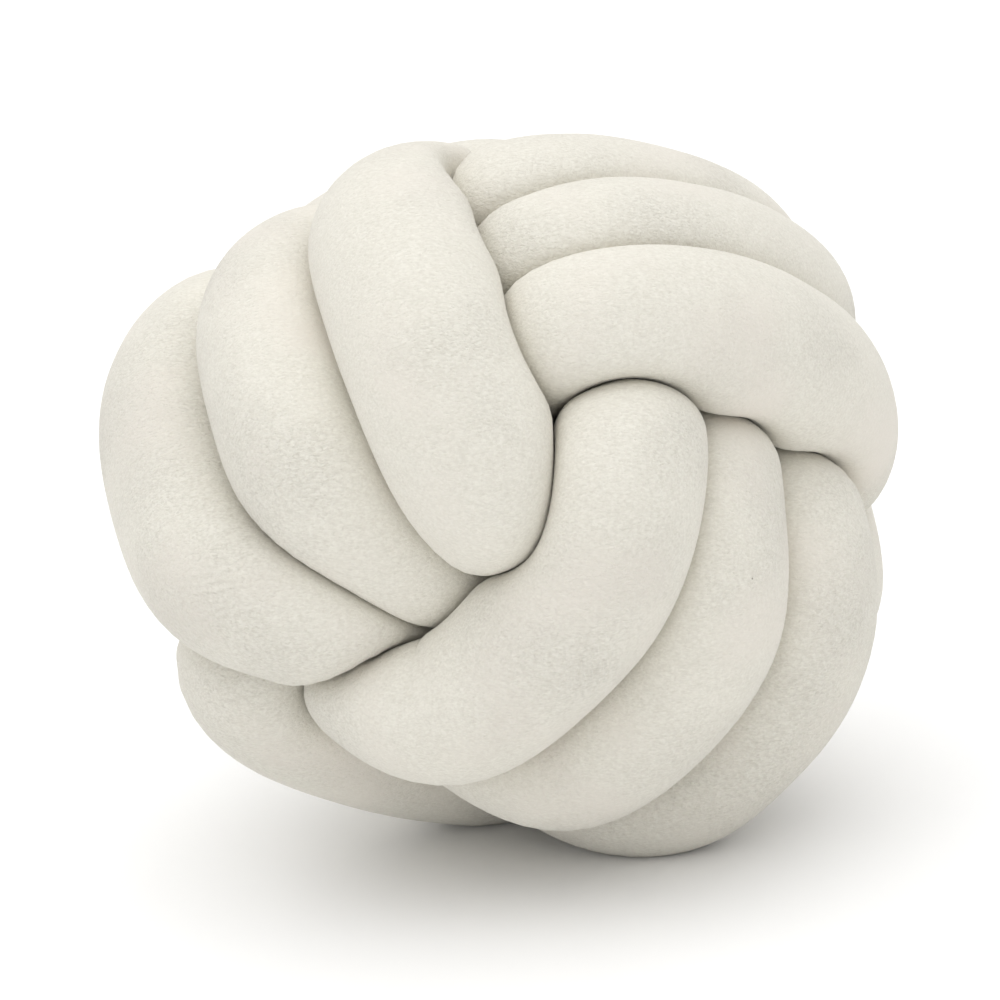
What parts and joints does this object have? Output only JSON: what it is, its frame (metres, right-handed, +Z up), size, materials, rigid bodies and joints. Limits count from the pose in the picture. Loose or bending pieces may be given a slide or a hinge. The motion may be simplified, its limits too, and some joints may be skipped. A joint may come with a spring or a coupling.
{
  "type": "knot ball cushion",
  "caption": "Round decorative cushion: a soft stuffed plush tube knotted into a ball, its bands crossing over and under on every face.",
  "frame": {"origin": "on the floor under the middle of the cushion's outline", "axes": "+Z up; -Y towards the viewer, who sees three faces of bands meeting right of centre; +X to the viewer's right"},
  "size_m": [0.2934, 0.3022, 0.2693],
  "materials": {
    "plush": "matt short-pile ivory plush"
  },
  "bodies": {
    "root": {"knotted_tube": "plush"}
  },
  "joints": []
}
